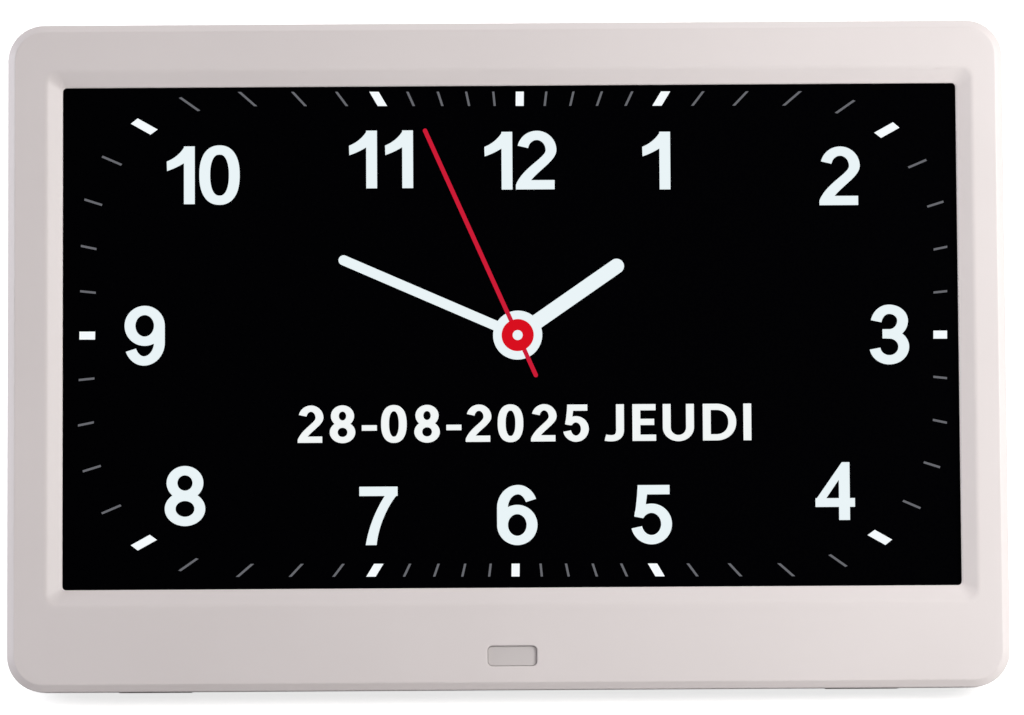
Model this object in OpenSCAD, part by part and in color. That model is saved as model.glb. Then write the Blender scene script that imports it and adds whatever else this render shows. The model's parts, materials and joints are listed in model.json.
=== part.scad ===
// Day clock: a ten inch display in a moulded casing that leans back on a fold-out leg.
// Every piece is drawn upright, with x across, y from the front face to the back and
// z up from the bottom edge. lean() then tips the whole clock back onto its feet.

/* [Display] */
// Width of the visible picture
display_w = 222.7; // [200:0.1:260]
// Height of the visible picture
display_h = 125.3; // [112:0.1:150]
// Width of the rim of the display module outside its picture, at the sides
module_rim_side = 4.5; // [4:0.1:4.6]
// Height of the rim of the display module above its picture
module_rim_top = 5; // [4:0.25:6]
// Height of the rim of the display module below its picture, where its driver sits
module_rim_bottom = 11.5; // [9:0.25:12]
// Thickness of the display cell
cell_t = 1.3; // [0.9:0.1:1.6]
// Thickness of the light guide with its films
guide_t = 2.6; // [2:0.1:3]
// Thickness of the sheet steel tray behind the light guide
tray_t = 0.5; // [0.3:0.1:0.8]

/* [Bezel] */
// Width of the casing left of the picture
border_left = 13.6; // [13:0.1:20]
// Width of the casing right of the picture
border_right = 11.6; // [11.5:0.1:20]
// Height of the casing above the picture
border_top = 15.6; // [15:0.1:24]
// Height of the casing below the picture
border_bottom = 25.2; // [24:0.1:36]
// Radius of the casing's corners, seen from the front
corner_r = 9; // [7:0.5:12]
// Depth of the bezel, from its face to the parting line
bezel_d = 9; // [8.5:0.25:11]
// Thickness of the bezel's face
face_t = 2.4; // [2:0.1:2.6]
// Thickness of the bezel's side walls
bezel_wall = 2; // [1.6:0.1:2.2]
// Width of the chamfer round the face, seen from the front
chamfer_w = 1.8; // [1:0.1:2.2]
// Depth of that chamfer
chamfer_d = 1.1; // [0.6:0.1:1.6]
// Width of the slope from the face down to the picture
slope_w = 4; // [3:0.1:5]
// Depth of that slope
slope_d = 1.7; // [1.2:0.1:1.8]
// Radius of the round brow where the face turns into that slope
brow_r = 3; // [0.5:0.25:5]
// Radius of the opening's corners at the picture
opening_r = 1; // [0.6:0.1:2]
// Radius of the slope's corners at the face
slope_r = 3; // [2:0.1:5]
// Thickness of the ribs that tie the bezel's bosses to its walls
bezel_rib = 1.2; // [0.8:0.1:1.5]

/* [Rear cover] */
// How far the rear cover is set in from the bezel's edge
cover_inset = 1.2; // [0.8:0.1:1.5]
// Thickness of the rear cover's walls
cover_wall = 2; // [1.6:0.1:2.2]
// Depth of the back plane, from the face of the bezel
back_d = 20; // [20:0.25:22]
// Radius of the rear cover's rounded edge
cover_edge_r = 2.5; // [1.5:0.1:3]
// Width of the raised middle of the back
bulge_w = 150; // [130:1:160]
// Height of the raised middle of the back
bulge_h = 114; // [108:1:118]
// How far the bottom of the raised middle is above the casing's bottom edge
bulge_z = 12; // [10:0.5:16]
// How far the middle is raised above the back plane
bulge_rise = 5; // [5:0.1:7]
// How far the raised middle's walls lean in
bulge_slope = 4; // [2:0.25:6]
// Corner radius of the raised middle
bulge_r = 12; // [8:0.5:16]
// Thickness of the tongue that sets the cover inside the bezel
tongue_t = 1; // [0.8:0.1:1.1]
// Length of that tongue
tongue_l = 1.5; // [1:0.1:2]

/* [Leg] */
// Angle that the clock leans back from upright
lean_angle = 18; // [16:0.5:20]
// Angle that the leg opens from its recess
leg_angle = 28; // [26:0.5:30]
// Height of the leg's hinge pin above the casing's bottom edge
hinge_z = 92; // [88:0.5:98]
// Depth of the hinge pin, from the face of the bezel
hinge_y = 20.5; // [20.5:0.1:21]
// Radius of the hinge pin
pin_r = 1.5; // [1:0.1:1.8]
// Radius of the leg's barrel round the pin
barrel_r = 3.6; // [3.2:0.1:3.8]
// Width of the leg at its hinge
leg_w = 30; // [24:0.5:40]
// Width of the leg at its foot
leg_tip_w = 24; // [18:0.5:24]
// Thickness of the leg
leg_t = 6.4; // [5:0.1:6.6]
// Thickness of the leg's outer skin
leg_skin = 1.8; // [1.2:0.1:2.4]
// Thickness of the ribs inside the leg
leg_rib = 1.6; // [1.2:0.1:2.2]
// Depth of the recess floor, from the face of the bezel
recess_y = 16.5; // [16.2:0.1:16.6]
// Gap at each side of the leg in its recess
leg_gap = 1; // [0.8:0.1:1.5]
// Thickness of the rubber pad at the leg's foot
pad_t = 1.6; // [1:0.1:2.5]

/* [Feet] */
// Distance between the middles of the two rubber feet
feet_span = 176; // [150:1:200]
// Length of each rubber foot
foot_l = 18; // [10:0.5:24]
// Depth of the front of the feet, from the face of the bezel
foot_y = 10.5; // [10:0.25:11.5]
// Depth of the line where the feet start to slope, parallel to the table
foot_break_y = 15.5; // [15:0.25:16]
// Depth of the back of the feet
foot_end_y = 17.4; // [16.5:0.1:17.5]

/* [Buttons] */
// Radius of the buttons on the back
button_r = 4; // [3:0.1:4.5]
// Distance from one button to the next
button_pitch = 16; // [15:0.5:18]
// How far the row of buttons is below the casing's top edge
button_drop = 22.1; // [20:0.1:23]
// How far the buttons stand out of the back
button_out = 1.2; // [0.8:0.1:2]
// How far the buttons travel
button_travel = 0.6; // [0.3:0.1:0.7]
// Gap round each button in its hole
button_gap = 0.25; // [0.15:0.05:0.4]
// Width of the flange that keeps each button in
flange_w = 1.2; // [0.8:0.1:1.6]
// Thickness of that flange
flange_t = 1; // [0.8:0.1:1.2]

/* [Remote window] */
// Width of the window for the remote control
window_w = 12.2; // [10:0.1:16]
// Height of that window
window_h = 5; // [4:0.1:6]
// Height of the window's middle above the casing's bottom edge
window_z = 8.3; // [7.5:0.1:9]
// Corner radius of the window
window_r = 1.2; // [0.8:0.1:2]
// How far the window is set back from the face
window_back = 0.6; // [0.2:0.05:0.8]

/* [Electronics] */
// Thickness of the main circuit board
board_t = 1.6; // [1:0.1:1.6]
// Width of the main circuit board
board_w = 60; // [54:0.5:62]
// Height of the main circuit board
board_h = 74; // [68:0.5:76]
// Height of the main circuit board's bottom edge above the casing's bottom edge
board_z = 40; // [38:0.5:42]
// Depth of the main circuit board's front side, from the face of the bezel
board_y = 9.6; // [9.6:0.05:9.8]
// Thickness of the small circuit boards
small_board_t = 1.2; // [0.8:0.1:1.2]
// Radius of the socket for the power plug
jack_bore_r = 2.8; // [2.5:0.1:2.9]
// Width of each speaker
speaker_w = 32; // [28:0.5:34]
// Height of each speaker
speaker_h = 18; // [16:0.5:19]

/* [Fasteners] */
// Radius of the case screws' shanks
screw_r = 1.3; // [1:0.05:1.4]
// Radius of the case screws' heads
screw_head_r = 2.4; // [2.2:0.1:2.5]
// Thickness of the case screws' heads
screw_head_t = 1.6; // [1.2:0.1:2]
// Radius of the moulded bosses that the case screws go into
boss_r = 2.8; // [2.4:0.1:2.8]
// Radius of the small screws' shanks
small_screw_r = 0.9; // [0.7:0.05:1]
// Radius of the small screws' heads
small_head_r = 1.5; // [1.3:0.1:1.5]
// Gap between a seated piece and its seat
fit_gap = 0.3; // [0.2:0.05:0.35]
// Running gap of a shaft in its bore, at each side
run_gap = 0.05; // [0.02:0.01:0.1]

/* [Hidden] */
$fn = 48;
// A cut runs this far past the faces that it goes through
past = 1;

// Casing
body_w = border_left + display_w + border_right;
body_h = border_bottom + display_h + border_top;
display_x = (border_left - border_right) / 2;
display_z = border_bottom + display_h / 2;
face_r = corner_r - chamfer_w;
cavity_w = body_w - 2 * bezel_wall;
cavity_h = body_h - 2 * bezel_wall;
rib_bite = 0.5;

// The opening round the picture, from in front of the face to behind it: how far out from the
// picture and how deep each level lies. The brow is round, then comes the slope, then the wall.
slope_angle = atan(slope_d / slope_w);
brow_w = slope_w + brow_r * tan(slope_angle / 2);
brow_steps = 4;
opening_levels = concat([[brow_w, -past]],
    [for (i = [0 : brow_steps]) let (a = slope_angle * i / brow_steps)
        [brow_w - brow_r * sin(a), brow_r * (1 - cos(a))]],
    [[0, slope_d], [0, face_t + past]]);

cover_w = body_w - 2 * cover_inset;
cover_h = body_h - 2 * cover_inset;
cover_r = corner_r - cover_inset;
bulge_y = back_d + bulge_rise;
bulge_mid_z = bulge_z + bulge_h / 2;
tongue_gap = 0.15;
tongue_w = cavity_w - 2 * tongue_gap;
tongue_h = cavity_h - 2 * tongue_gap;
tongue_r = corner_r - bezel_wall - tongue_gap;

// Display module, from the cell's front to the tray's back
cell_y = face_t + fit_gap;
guide_y = cell_y + cell_t;
tray_y = guide_y + guide_t;
tray_back = tray_y + tray_t;
module_w = display_w + 2 * module_rim_side;
module_h = display_h + module_rim_top + module_rim_bottom;
module_bottom = border_bottom - module_rim_bottom;
module_z = module_bottom + module_h / 2;
frame_rim = 2.5;
cell_rim = 1.2;
// Pressed beads that stiffen the tray, by their share of its height
tray_bead_shares = [0.32, 0.5, 0.68, 0.86];
tray_bead_w = 5;
tray_bead_t = 0.5;

// Leg. Its length makes the foot meet the table that the feet stand on.
tilt = leg_angle - lean_angle;
leg_reach = (hinge_z * cos(lean_angle) - (hinge_y - foot_break_y) * sin(lean_angle)) / cos(tilt);
leg_swing = 1.4;
barrel_swing = 2.6;
leg_proud = 0.5;
recess_w = leg_w + 2 * leg_gap;
recess_bottom = hinge_z - leg_reach - leg_swing;
recess_top = hinge_z + barrel_r + barrel_swing;
leg_back = hinge_y + barrel_r + leg_proud;
leg_front = leg_back - leg_t;
leg_ribs = 4;
leg_heel_h = 2.4;
leg_heel_w = leg_w - 6;
stop_gap = 0.1;
taper_z = hinge_z - 2 * barrel_r;
pin_l = recess_w + 2 * cover_wall;
pin_tail = 0.6;
pin_head_r = pin_r + 0.8;
pin_head_t = 0.8;
washer_t = 0.4;
washer_r = 3.2;

// Buttons
button_count = 7;
button_z = body_h - button_drop;
flange_y = back_d - cover_wall - 0.2 - flange_t;
stem_y = flange_y - button_travel - 0.2;
switch_h = 2.7;
stem_h = 0.7;
key_board_y = stem_y - stem_h - switch_h - small_board_t;
key_board_h = 13;
key_board_w = (button_count - 1) * button_pitch + 26;

// Ports, on the cover's right wall
cover_side = cover_w / 2;
board_right = cover_side - cover_wall - 1;
board_x = board_right - board_w / 2;
board_back = board_y + board_t;
port_x = cover_side - cover_wall - fit_gap;
jack_z = board_z + 14;
jack_w = 9;
jack_t = 6.5;
jack_l = 13;
jack_bore_l = 9;
jack_pin_r = 1;
usb_w = 13.2;
usb_t = 5.8;
usb_l = 14;
usb_tongue = 1.8;
card_w = 25;
card_z = board_z + board_h - 21;
usb_z = (jack_z + jack_w / 2 + card_z - card_w / 2) / 2;
card_t = 3.2;
card_l = 20;
socket_sheet = 0.4;

// Speakers, in the bottom corners
speaker_x = bulge_w / 2 + 2 + speaker_w / 2;
speaker_z = 13.5 + speaker_h / 2;
speaker_y = back_d - cover_wall - fit_gap;
speaker_rim_t = 1.6;
speaker_cone_t = 0.8;
speaker_basket_d = 6;
speaker_magnet_d = 8;
speaker_magnet_r = 6;

// Case screws: four near the corners, one at the top, two at the bottom
top_screw_z = body_h - bezel_wall - boss_r - 1.8;
bottom_screw_z = bezel_wall + boss_r + 3;
screw_places = [
    [-body_w / 2 + 11, bottom_screw_z], [body_w / 2 - 11, bottom_screw_z],
    [-body_w / 2 + 16, top_screw_z], [body_w / 2 - 16, top_screw_z],
    [0, top_screw_z], [-44, bottom_screw_z], [44, bottom_screw_z]];
well_floor_y = bezel_d + 2;
post_r = screw_head_r + 1.7;

// Display clamps, two at each side
clamp_x = [display_x - module_w / 2 - 2.3, display_x + module_w / 2 + 2.3];
clamp_z = [27, body_h - 38];
clamp_boss_r = 1.9;
clamp_t = 0.8;

// Keyholes for hanging the clock on two wall screws
hang_x = 92;
hang_z = body_h - 25.1;
hang_r = 4.2;
hang_slot_r = 2.1;
hang_slot_l = 7;

// Vents, speaker grilles and the finger notch beside the leg
vent_count = 15;
vent_pitch = 7;
vent_w = 1.8;
vent_h = 12;
vent_z = bulge_z + bulge_h - 14;
grille_slots = 8;
grille_pitch = 3.4;
grille_slot_w = 1.5;
grille_slot_h = speaker_h - 5;
notch_z = recess_bottom + 17;
notch_r = 7;
notch_y = back_d + 1.5;

// Remote control receiver, behind its window
window_flange_t = 0.8;
receiver_y = face_t + window_flange_t + fit_gap;
receiver_t = 2.6;
receiver_w = 5.6;
receiver_h = 5;
receiver_dome_r = 1.8;
receiver_dome_t = 0.8;
ir_board_w = 24;
ir_board_h = 8.4;
ir_board_y = receiver_y + receiver_t;
ir_post_x = 9.6;
ir_post_r = 1.6;
ir_stake_r = 0.8;
ir_stake_out = 0.6;

// Posts that hold the boards
board_post_r = 2.6;
board_posts = [for (x = [board_right - board_w + 4, board_right - 4],
    z = [board_z + 4, board_z + board_h - 4]) [x, z]];
key_post_r = 2.4;
key_post_x = (button_count - 1) / 2 * button_pitch + 9.5;
small_head_t = 1;
board_screw_l = 6;
key_screw_l = 5;

// Driver board, ribbon and leads
driver_z = module_bottom + 8;
driver_h = 12;
driver_back = tray_back + 1;
ribbon_x = board_x - 14;
ribbon_w = 16;
ribbon_t = 0.2;
ribbon_low = driver_z - 3;
ribbon_high = board_z + 9;
lead_r = 0.7;
lead_y = speaker_y - 4.5;
lead_low = speaker_z + speaker_h / 2 - 1.5;
key_board_back = key_board_y + small_board_t;
key_board_low = button_z - key_board_h / 2;
cell_r = 10;
cell_floor_t = 0.8;
cell_holder_t = 4;
cell_holder_r = cell_r + 1.3;
cell_x = board_x - 8;
cell_z = board_z + 24;

function button_x(i) = (i - (button_count - 1) / 2) * button_pitch;

// Where the tilted clock's outline starts and ends, from front to back
low_y = chamfer_w * sin(lean_angle);
high_y = (back_d - cover_edge_r) * cos(lean_angle)
    + (body_h - cover_inset - cover_edge_r) * sin(lean_angle) + cover_edge_r;
mid_y = (low_y + high_y) / 2;
table_z = -foot_break_y * sin(lean_angle);

// Tips the upright clock back, onto the table at z = 0, with the origin at its middle
module lean() {
    translate([0, -mid_y, -table_z])
    rotate([-lean_angle, 0, 0])
    children();
}

// Turns the leg from its recess to its open place, about the hinge pin
module open_leg() {
    translate([0, hinge_y, hinge_z])
    rotate([leg_angle, 0, 0])
    translate([0, -hinge_y, -hinge_z])
    children();
}

// A flat outline drawn in x and z, made solid from depth y0 to depth y1
module slab(y0, y1) {
    translate([0, y1, 0])
    rotate([90, 0, 0])
    linear_extrude(y1 - y0)
    children();
}

// A round rod along y at one place
module rod_y(x, z, r, y0, y1) {
    translate([x, y1, z])
    rotate([90, 0, 0])
    cylinder(r = r, h = y1 - y0);
}

// A block between two depths, given by its middle in x and z
module block(x, z, w, h, y0, y1) {
    translate([x - w / 2, y0, z - h / 2])
    cube([w, y1 - y0, h]);
}

// A rectangle with round corners, about its own middle
module rounded_rect(w, h, r) {
    square([w - 2 * r, h], center = true);
    square([w, h - 2 * r], center = true);
    for (sx = [-1, 1], sz = [-1, 1])
        translate([sx * (w / 2 - r), sz * (h / 2 - r)])
        circle(r = r);
}

// The same outline as a ring of points at one depth
corner_steps = 8;
function rounded_ring(w, h, r, y) =
    [for (q = [0 : 3], i = [0 : corner_steps])
        let (a = 90 * (q + i / corner_steps), sx = q == 0 || q == 3 ? 1 : -1, sz = q < 2 ? 1 : -1)
        [sx * (w / 2 - r) + r * cos(a), y, sz * (h / 2 - r) + r * sin(a)]];

// A closed skin over rings of points, with a flat face at each end
module skin(rings) {
    sides = len(rings[0]);
    last = len(rings) - 1;
    walls = [for (i = [0 : last - 1], k = [0 : sides - 1])
        [i * sides + k, i * sides + (k + 1) % sides,
            (i + 1) * sides + (k + 1) % sides, (i + 1) * sides + k]];
    start = [for (k = [sides - 1 : -1 : 0]) k];
    end = [for (k = [0 : sides - 1]) last * sides + k];
    polyhedron([for (ring = rings) each ring], concat([start], walls, [end]), convexity = 4);
}

// A slot with round ends, upright, about its own middle
module round_slot(w, h) {
    square([w, h - w], center = true);
    for (s = [-1, 1])
        translate([0, s * (h - w) / 2])
        circle(r = w / 2);
}

// A slab with a shaped edge. The profile, given as distance out from the corner's centre
// against depth, is turned about each corner and run along each side.
module edged_slab(w, h, r, y0, y1) {
    half_w = w / 2 - r;
    half_h = h / 2 - r;
    for (sx = [-1, 1], sz = [-1, 1])
        translate([sx * half_w, 0, sz * half_h])
        rotate([-90, 0, 0])
        rotate_extrude()
        children();
    for (s = [0, 1])
        mirror([0, 0, s])
        translate([half_w, 0, half_h])
        rotate([0, -90, 0])
        linear_extrude(2 * half_w)
        children();
    for (s = [0, 1])
        mirror([s, 0, 0])
        translate([half_w, 0, -half_h])
        linear_extrude(2 * half_h)
        children();
    block(0, 0, 2 * half_w, 2 * half_h, y0, y1);
}

// A slab whose walls lean in by the given slope as it rises, with a rounded shoulder
module tapered_slab(w, h, r, slope, round_r, y0, y1) {
    hull() {
        slab(y0, y0 + 0.01)
        rounded_rect(w, h, r, $fn = 40);
        for (a = [0 : 30 : 90]) {
            inset = slope + round_r * (1 - cos(a));
            top = y1 - round_r * (1 - sin(a));
            slab(top - 0.01, top)
            rounded_rect(w - 2 * inset, h - 2 * inset, max(r - inset, 1), $fn = 40);
        }
    }
}

// Front bezel: one moulding with the sloped opening, the window for the remote control
// and the bosses that everything inside is screwed to
module bezel_profile() {
    polygon([[0, 0], [face_r, 0], [corner_r, chamfer_d], [corner_r, bezel_d], [0, bezel_d]]);
}

module bezel_bosses() {
    for (p = screw_places)
        rod_y(p[0], p[1], boss_r, face_t, bezel_d);
    for (x = clamp_x, z = clamp_z)
        rod_y(x, z, clamp_boss_r, face_t, tray_back);
    for (s = [-1, 1]) {
        rod_y(display_x + s * ir_post_x, window_z, ir_post_r, face_t, ir_board_y);
        rod_y(display_x + s * ir_post_x, window_z, ir_stake_r, face_t,
            ir_board_y + small_board_t + ir_stake_out);
    }
}

// Ribs that tie each boss to the wall above or below it, and in the corners to the side wall.
// They stop short of the cover's tongue.
module bezel_ribs() {
    back = bezel_d - tongue_l - fit_gap;
    for (p = screw_places) {
        wall_z = p[1] > body_h / 2 ? body_h - bezel_wall : bezel_wall;
        wall_x = sign(p[0]) * cavity_w / 2;
        block(p[0], (p[1] + wall_z) / 2, bezel_rib, abs(wall_z - p[1]) + 2 * rib_bite,
            face_t - rib_bite, back);
        if (abs(p[0]) > cavity_w / 3)
            block((p[0] + wall_x) / 2, p[1], abs(wall_x - p[0]) + 2 * rib_bite, bezel_rib,
                face_t - rib_bite, back);
    }
}

module bezel_cuts() {
    translate([display_x, 0, display_z])
    skin([for (level = opening_levels)
        rounded_ring(display_w + 2 * level[0], display_h + 2 * level[0],
            opening_r + (slope_r - opening_r) * level[0] / slope_w, level[1])]);
    translate([display_x, 0, window_z])
    slab(-past, face_t + past)
    rounded_rect(window_w, window_h, window_r);
    for (p = screw_places)
        rod_y(p[0], p[1], screw_r + run_gap, face_t + 0.8, bezel_d + past);
    for (x = clamp_x, z = clamp_z)
        rod_y(x, z, small_screw_r + run_gap, face_t + 0.8, bezel_d + past);
}

module front_bezel() {
    color("gainsboro")
    lean()
    difference() {
        union() {
            difference() {
                translate([0, 0, body_h / 2])
                edged_slab(body_w, body_h, corner_r, 0, bezel_d)
                bezel_profile();
                translate([0, 0, body_h / 2])
                slab(face_t, bezel_d + past)
                rounded_rect(cavity_w, cavity_h, corner_r - bezel_wall);
            }
            bezel_bosses();
            bezel_ribs();
        }
        bezel_cuts();
    }
}

// Rear cover: one moulding with a raised middle, the leg's recess, grilles, vents,
// keyholes, wells for the screws and openings for the buttons and ports
module cover_profile() {
    square_d = back_d - bezel_d;
    translate([0, bezel_d])
    square([cover_r - cover_edge_r, square_d]);
    translate([0, bezel_d])
    square([cover_r, square_d - cover_edge_r]);
    translate([cover_r - cover_edge_r, back_d - cover_edge_r])
    circle(r = cover_edge_r);
}

module cover_outside() {
    translate([0, 0, body_h / 2])
    edged_slab(cover_w, cover_h, cover_r, bezel_d, back_d)
    cover_profile();
    translate([0, 0, bulge_mid_z])
    tapered_slab(bulge_w, bulge_h, bulge_r, bulge_slope, 1.2, back_d - 1, bulge_y);
    translate([0, 0, body_h / 2])
    slab(bezel_d - tongue_l, bezel_d)
    rounded_rect(tongue_w, tongue_h, tongue_r);
}

// The walls of the leg's recess, as seen from inside the clock
module recess_walls() {
    block(0, (recess_bottom + recess_top) / 2, recess_w + 2 * cover_wall,
        recess_top - recess_bottom + 2 * cover_wall, recess_y - cover_wall, bulge_y + past);
    rod_y(recess_w / 2, notch_z, notch_r + cover_wall, notch_y - cover_wall, bulge_y + past);
}

module cover_inside() {
    difference() {
        union() {
            translate([0, 0, body_h / 2])
            slab(bezel_d, back_d - cover_wall)
            rounded_rect(cover_w - 2 * cover_wall, cover_h - 2 * cover_wall, cover_r - cover_wall);
            translate([0, 0, bulge_mid_z])
            tapered_slab(bulge_w - 2 * cover_wall, bulge_h - 2 * cover_wall, bulge_r - cover_wall,
                bulge_slope, 0.5, back_d - cover_wall - 1, bulge_y - cover_wall);
        }
        recess_walls();
        cover_posts();
    }
    translate([0, 0, body_h / 2])
    slab(bezel_d - tongue_l - past, bezel_d)
    rounded_rect(tongue_w - 2 * tongue_t, tongue_h - 2 * tongue_t, tongue_r - tongue_t);
}

module cover_posts() {
    for (p = screw_places)
        rod_y(p[0], p[1], post_r, bezel_d, back_d);
    for (p = board_posts)
        rod_y(p[0], p[1], board_post_r, board_back, bulge_y);
    for (s = [-1, 1])
        rod_y(s * key_post_x, button_z, key_post_r, key_board_y + small_board_t, back_d);
}

module grille() {
    for (i = [0 : grille_slots - 1])
        translate([(i - (grille_slots - 1) / 2) * grille_pitch, 0])
        round_slot(grille_slot_w, grille_slot_h);
}

module cover_openings() {
    // Leg's recess, its notch for a finger and the bores for its pin
    block(0, (recess_bottom + recess_top) / 2, recess_w, recess_top - recess_bottom,
        recess_y, bulge_y + past);
    rod_y(recess_w / 2, notch_z, notch_r, notch_y, bulge_y + past);
    translate([-recess_w / 2 - cover_wall - past, hinge_y, hinge_z])
    rotate([0, 90, 0])
    cylinder(r = pin_r + 0.02, h = recess_w + 2 * cover_wall + 2 * past);
    // Wells and holes for the case screws
    for (p = screw_places) {
        rod_y(p[0], p[1], screw_head_r + fit_gap, well_floor_y, back_d + past);
        rod_y(p[0], p[1], screw_r + fit_gap, bezel_d - past, well_floor_y + past);
    }
    // Pilot holes for the screws that hold the boards
    for (p = board_posts)
        rod_y(p[0], p[1], small_screw_r + run_gap, board_back - past, back_d - cover_wall);
    for (s = [-1, 1])
        rod_y(s * key_post_x, button_z, small_screw_r + run_gap,
            key_board_y + small_board_t - past, back_d - cover_wall);
    // Button holes
    for (i = [0 : button_count - 1])
        rod_y(button_x(i), button_z, button_r + button_gap, back_d - cover_wall - past, back_d + past);
    // Keyholes
    for (s = [-1, 1]) {
        rod_y(s * hang_x, hang_z, hang_r, back_d - cover_wall - past, back_d + past);
        translate([s * hang_x, 0, hang_z + hang_slot_l / 2])
        slab(back_d - cover_wall - past, back_d + past)
        round_slot(2 * hang_slot_r, hang_slot_l + 2 * hang_slot_r);
    }
    // Speaker grilles
    for (s = [-1, 1])
        translate([s * speaker_x, 0, speaker_z])
        slab(back_d - cover_wall - past, back_d + past)
        grille();
    // Vents above the leg
    for (i = [0 : vent_count - 1])
        translate([(i - (vent_count - 1) / 2) * vent_pitch, 0, vent_z])
        slab(bulge_y - cover_wall - past, bulge_y + past)
        round_slot(vent_w, vent_h);
    // Ports in the right wall
    translate([cover_side - cover_wall - past, board_back + jack_t / 2, jack_z])
    rotate([0, 90, 0])
    cylinder(r = jack_bore_r + 0.5, h = cover_wall + 2 * past);
    translate([cover_side - cover_wall - past, board_back + 0.1, usb_z - usb_w / 2])
    cube([cover_wall + 2 * past, usb_t, usb_w]);
    translate([cover_side - cover_wall - past, board_back + 0.1, card_z - card_w / 2])
    cube([cover_wall + 2 * past, card_t, card_w]);
}

module rear_cover() {
    color("whitesmoke")
    lean()
    difference() {
        cover_outside();
        cover_inside();
        cover_openings();
    }
}

// Remote control window and the receiver behind it
module ir_window() {
    color("darkgray")
    lean()
    translate([display_x, 0, window_z]) {
        slab(window_back, face_t)
        rounded_rect(window_w - 0.2, window_h - 0.2, window_r - 0.1);
        slab(face_t, face_t + window_flange_t)
        rounded_rect(window_w + 3, window_h + 2.4, window_r);
    }
}

module ir_receiver() {
    color("black")
    lean() {
        block(display_x, window_z, receiver_w, receiver_h, receiver_y + receiver_dome_t, ir_board_y);
        rod_y(display_x, window_z, receiver_dome_r, receiver_y, receiver_y + receiver_dome_t);
    }
}

module ir_board() {
    color("darkgreen")
    lean()
    difference() {
        block(display_x, window_z, ir_board_w, ir_board_h, ir_board_y, ir_board_y + small_board_t);
        for (s = [-1, 1])
            rod_y(display_x + s * ir_post_x, window_z, ir_stake_r + 0.1, 0, bezel_d);
    }
}

// Display module, from the cell at the front to the tray at the back
module module_outline(inset) {
    translate([display_x, module_z])
    square([module_w - 2 * inset, module_h - 2 * inset], center = true);
}

module display_cell() {
    color("black")
    lean()
    slab(cell_y, guide_y)
    module_outline(cell_rim + fit_gap);
}

module light_guide() {
    color("white")
    lean()
    slab(guide_y, tray_y)
    module_outline(frame_rim + 0.2);
}

module backlight_frame() {
    color("ivory")
    lean() {
        slab(guide_y, tray_y)
        difference() {
            module_outline(0);
            module_outline(frame_rim);
        }
        slab(cell_y, guide_y)
        difference() {
            module_outline(0);
            module_outline(cell_rim);
        }
    }
}

module backlight_tray() {
    color("silver")
    lean() {
        slab(tray_y, tray_back)
        module_outline(0);
        for (share = tray_bead_shares)
            translate([display_x, 0, module_bottom + share * module_h])
            slab(tray_back, tray_back + tray_bead_t)
            round_slot_flat(module_w - 60, tray_bead_w);
    }
}

// A slot with round ends, lying on its side
module round_slot_flat(w, h) {
    rotate(90)
    round_slot(h, w);
}

module display_driver_board() {
    color("darkgreen")
    lean()
    block(display_x, driver_z, module_w - 50, driver_h, tray_back, driver_back);
}

// Flat cable from the display's driver to the socket on the front of the main board
module display_ribbon() {
    color("orange")
    lean()
    block(ribbon_x, (ribbon_low + ribbon_high) / 2, ribbon_w, ribbon_high - ribbon_low,
        driver_back, driver_back + ribbon_t);
}

module display_clamps() {
    color("silver")
    lean()
    for (side = [0, 1], z = clamp_z)
        difference() {
            toward = side == 0 ? 1 : -1;
            block(clamp_x[side] + toward * 2.6, z, 7.8, 10, tray_back, tray_back + clamp_t);
            rod_y(clamp_x[side], z, small_screw_r + run_gap, 0, bezel_d + past);
        }
}

// A pan head screw whose head sits on depth seat_y and points to the front or the back
module pan_screw(x, z, r, head_r, head_t, seat_y, length, back) {
    s = back ? 1 : -1;
    head = seat_y + s * head_t;
    difference() {
        union() {
            rod_y(x, z, head_r, min(seat_y, head), max(seat_y, head));
            rod_y(x, z, r, min(seat_y, seat_y - s * length), max(seat_y, seat_y - s * length));
        }
        for (a = [0, 90])
            translate([x, head, z])
            rotate([0, a, 0])
            cube([1.4 * head_r, head_t, 0.35 * head_r], center = true);
    }
}

module clamp_screws() {
    color("dimgray")
    lean()
    for (x = clamp_x, z = clamp_z)
        pan_screw(x, z, small_screw_r, small_head_r, small_head_t,
            tray_back + clamp_t, tray_back + clamp_t - face_t - 1, true);
}

// Main board, on posts of the rear cover
module main_board() {
    color("darkgreen")
    lean()
    difference() {
        block(board_x, board_z + board_h / 2, board_w, board_h, board_y, board_back);
        for (p = board_posts)
            rod_y(p[0], p[1], small_screw_r + 0.1, board_y - past, board_back + past);
    }
}

module board_chips() {
    color("black")
    lean() {
        block(board_x + 1, card_z + 1, 14, 14, board_back, board_back + 1.4);
        block(board_x - 18, card_z - 2, 8, 12, board_back, board_back + 1);
        block(board_x + 2, jack_z - 5, 10, 7, board_back, board_back + 1.8);
        block(ribbon_x, ribbon_high - 3, ribbon_w + 3, 5, driver_back + ribbon_t, board_y);
    }
}

module board_screws() {
    color("dimgray")
    lean()
    for (p = board_posts)
        pan_screw(p[0], p[1], small_screw_r, small_head_r, small_head_t, board_y,
            board_screw_l, false);
}

// Power socket: a round bore with its centre pin
module dc_jack() {
    color("black")
    lean()
    translate([port_x, board_back + jack_t / 2, jack_z])
    rotate([0, -90, 0]) {
        difference() {
            translate([-jack_w / 2, -jack_t / 2, 0])
            cube([jack_w, jack_t, jack_l]);
            translate([0, 0, -past])
            cylinder(r = jack_bore_r, h = jack_bore_l + past);
        }
        translate([0, 0, 0.5])
        cylinder(r = jack_pin_r, h = jack_bore_l);
    }
}

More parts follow.
